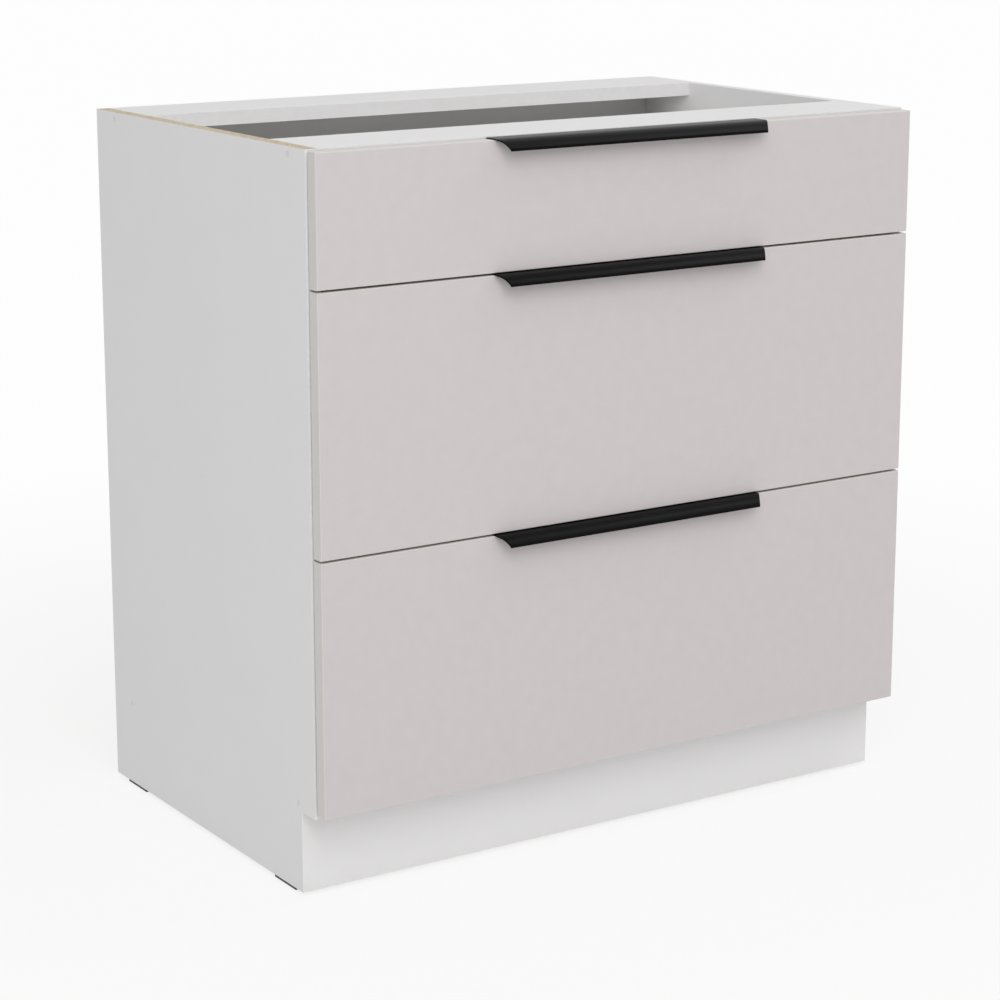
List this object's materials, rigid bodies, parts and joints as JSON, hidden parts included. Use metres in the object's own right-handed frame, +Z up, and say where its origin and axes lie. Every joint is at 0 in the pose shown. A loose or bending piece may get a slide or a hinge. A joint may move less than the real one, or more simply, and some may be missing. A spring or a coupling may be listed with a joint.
{
  "type": "base cabinet with drawers",
  "caption": "Kitchen base cabinet with full-width drawers on ball-bearing slides, curved edge pulls, flat top rails with an open top between them, and a toe recess over a plinth.",
  "frame": {"origin": "on the floor, at the middle of the width and of the whole depth from handle lip to rear edge", "axes": "+X to the right seen from the front, +Y to the rear, +Z up; the drawers open towards -Y"},
  "size_m": [0.8, 0.5366, 0.82],
  "materials": {
    "white_board": "melamine-faced chipboard, fine grain",
    "white_fibreboard": "lacquered thin fibreboard",
    "edge_band": "satin",
    "grey_front": "matt laminate over board",
    "black_metal": "satin powder coat",
    "slide_steel": "zinc plated",
    "zinc_steel": "zinc plated",
    "black_plastic": "moulded",
    "white_plastic": "moulded",
    "beech": "raw beech"
  },
  "bodies": {
    "cabinet": {"side_panel_left": "white_board", "side_panel_right": "white_board", "bottom_panel": "white_board", "front_rail": "white_board", "rear_rail": "white_board", "plinth_board": "white_board", "back_panel": "white_fibreboard", "edge_bands": "edge_band", "foot_glides": "black_plastic", "carcass_screws": "zinc_steel", "screw_caps": "white_plastic", "carcass_dowels": "beech", "plinth_blocks": "white_plastic", "short_screws_carcass": "zinc_steel", "cabinet_slides_top": "slide_steel", "cabinet_slides_middle": "slide_steel", "cabinet_slides_bottom": "slide_steel"},
    "drawer_top": {"drawer_front_top": "grey_front", "handle_top": "black_metal", "box_side_left_top": "white_board", "box_side_right_top": "white_board", "box_front_top": "white_board", "box_back_top": "white_board", "box_bottom_top": "white_fibreboard", "drawer_slides_top": "slide_steel", "box_dowels_top": "beech", "front_screws_top": "zinc_steel", "short_screws_top": "zinc_steel"},
    "middle_channels_top": {"middle_slides_top": "slide_steel"},
    "outer_retainers_top": {"outer_ball_cages_top": "zinc_steel"},
    "inner_retainers_top": {"inner_ball_cages_top": "zinc_steel"},
    "drawer_middle": {"drawer_front_middle": "grey_front", "handle_middle": "black_metal", "box_side_left_middle": "white_board", "box_side_right_middle": "white_board", "box_front_middle": "white_board", "box_back_middle": "white_board", "box_bottom_middle": "white_fibreboard", "drawer_slides_middle": "slide_steel", "box_dowels_middle": "beech", "front_screws_middle": "zinc_steel", "short_screws_middle": "zinc_steel"},
    "middle_channels_middle": {"middle_slides_middle": "slide_steel"},
    "outer_retainers_middle": {"outer_ball_cages_middle": "zinc_steel"},
    "inner_retainers_middle": {"inner_ball_cages_middle": "zinc_steel"},
    "drawer_bottom": {"drawer_front_bottom": "grey_front", "handle_bottom": "black_metal", "box_side_left_bottom": "white_board", "box_side_right_bottom": "white_board", "box_front_bottom": "white_board", "box_back_bottom": "white_board", "box_bottom_bottom": "white_fibreboard", "drawer_slides_bottom": "slide_steel", "box_dowels_bottom": "beech", "front_screws_bottom": "zinc_steel", "short_screws_bottom": "zinc_steel"},
    "middle_channels_bottom": {"middle_slides_bottom": "slide_steel"},
    "outer_retainers_bottom": {"outer_ball_cages_bottom": "zinc_steel"},
    "inner_retainers_bottom": {"inner_ball_cages_bottom": "zinc_steel"}
  },
  "joints": [
    {"name": "drawer_top_slide", "type": "slide", "parent": "cabinet", "child": "drawer_top", "axis": [0, -1, 0], "range_m": [0, 0.445]},
    {"name": "middle_channels_top_slide", "type": "slide", "parent": "cabinet", "child": "middle_channels_top", "axis": [0, -1, 0], "range_m": [0, 0.2225]},
    {"name": "outer_retainers_top_slide", "type": "slide", "parent": "cabinet", "child": "outer_retainers_top", "axis": [0, -1, 0], "range_m": [0, 0.11125]},
    {"name": "inner_retainers_top_slide", "type": "slide", "parent": "cabinet", "child": "inner_retainers_top", "axis": [0, -1, 0], "range_m": [0, 0.33375]},
    {"name": "drawer_middle_slide", "type": "slide", "parent": "cabinet", "child": "drawer_middle", "axis": [0, -1, 0], "range_m": [0, 0.445]},
    {"name": "middle_channels_middle_slide", "type": "slide", "parent": "cabinet", "child": "middle_channels_middle", "axis": [0, -1, 0], "range_m": [0, 0.2225]},
    {"name": "outer_retainers_middle_slide", "type": "slide", "parent": "cabinet", "child": "outer_retainers_middle", "axis": [0, -1, 0], "range_m": [0, 0.11125]},
    {"name": "inner_retainers_middle_slide", "type": "slide", "parent": "cabinet", "child": "inner_retainers_middle", "axis": [0, -1, 0], "range_m": [0, 0.33375]},
    {"name": "drawer_bottom_slide", "type": "slide", "parent": "cabinet", "child": "drawer_bottom", "axis": [0, -1, 0], "range_m": [0, 0.445]},
    {"name": "middle_channels_bottom_slide", "type": "slide", "parent": "cabinet", "child": "middle_channels_bottom", "axis": [0, -1, 0], "range_m": [0, 0.2225]},
    {"name": "outer_retainers_bottom_slide", "type": "slide", "parent": "cabinet", "child": "outer_retainers_bottom", "axis": [0, -1, 0], "range_m": [0, 0.11125]},
    {"name": "inner_retainers_bottom_slide", "type": "slide", "parent": "cabinet", "child": "inner_retainers_bottom", "axis": [0, -1, 0], "range_m": [0, 0.33375]}
  ],
  "couplings": [
    {"joint": "middle_channels_top_slide", "follows": "drawer_top_slide", "ratio": 0.5},
    {"joint": "outer_retainers_top_slide", "follows": "drawer_top_slide", "ratio": 0.25},
    {"joint": "inner_retainers_top_slide", "follows": "drawer_top_slide", "ratio": 0.75},
    {"joint": "middle_channels_middle_slide", "follows": "drawer_middle_slide", "ratio": 0.5},
    {"joint": "outer_retainers_middle_slide", "follows": "drawer_middle_slide", "ratio": 0.25},
    {"joint": "inner_retainers_middle_slide", "follows": "drawer_middle_slide", "ratio": 0.75},
    {"joint": "middle_channels_bottom_slide", "follows": "drawer_bottom_slide", "ratio": 0.5},
    {"joint": "outer_retainers_bottom_slide", "follows": "drawer_bottom_slide", "ratio": 0.25},
    {"joint": "inner_retainers_bottom_slide", "follows": "drawer_bottom_slide", "ratio": 0.75}
  ]
}
